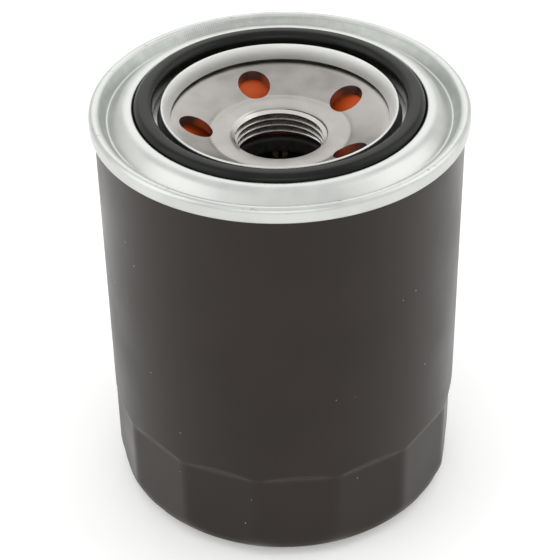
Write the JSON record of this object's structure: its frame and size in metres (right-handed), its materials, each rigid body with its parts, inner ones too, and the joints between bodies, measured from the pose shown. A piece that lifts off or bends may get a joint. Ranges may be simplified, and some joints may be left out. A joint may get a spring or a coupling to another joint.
{
  "type": "oil filter",
  "caption": "Spin-on engine oil filter: seamed steel can with wrench flats, threaded plate, gasket, pleated element, drain-back valve and bypass valve.",
  "frame": {"origin": "middle of the base that the filter stands on, on the thread's axis", "axes": "+Z along the thread's axis, from the closed end towards the engine; +X and +Y across"},
  "size_m": [0.08, 0.08, 0.0964],
  "materials": {
    "black_paint": "satin black paint on drawn steel",
    "zinc_plate": "bright zinc plate",
    "seam_compound": "cured sealing compound",
    "black_rubber": "moulded nitrile rubber, lightly oiled",
    "bare_steel": "bare pressed steel",
    "orange_silicone": "moulded silicone",
    "tinplate": "tinplate",
    "adhesive": "cured plastisol",
    "filter_paper": "resin-treated paper",
    "spring_steel": "oil-tempered spring steel"
  },
  "bodies": {
    "filter_body": {"canister": "black_paint", "gasket_retainer": "zinc_plate", "seam_compound": "seam_compound", "sealing_gasket": "black_rubber", "tapping_plate": "bare_steel", "weld_nuggets": "bare_steel", "element_top_cap": "tinplate", "top_cap_adhesive": "adhesive", "pleated_media": "filter_paper", "media_seam_clip": "tinplate", "centre_tube": "tinplate", "bottom_cap_adhesive": "adhesive", "element_bottom_cap": "tinplate", "bypass_cage": "tinplate", "bypass_washer": "black_rubber", "bypass_seat": "tinplate", "bypass_spring": "spring_steel", "element_spring": "spring_steel"},
    "drainback_flap": {"drainback_valve": "orange_silicone"},
    "bypass_plunger": {"bypass_poppet": "tinplate", "bypass_seal": "black_rubber"}
  },
  "joints": [
    {"name": "drainback_lift", "type": "slide", "parent": "filter_body", "child": "drainback_flap", "axis": [0, 0, 1], "range_m": [-0.002, 0], "stiffness_N_per_m": 200, "springref_m": 0.001, "deforming": ["drainback_valve"]},
    {"name": "bypass_lift", "type": "slide", "parent": "filter_body", "child": "bypass_plunger", "axis": [0, 0, 1], "range_m": [0, 0.004], "stiffness_N_per_m": 1500, "springref_m": -0.0063, "deforming": ["bypass_spring"]}
  ]
}
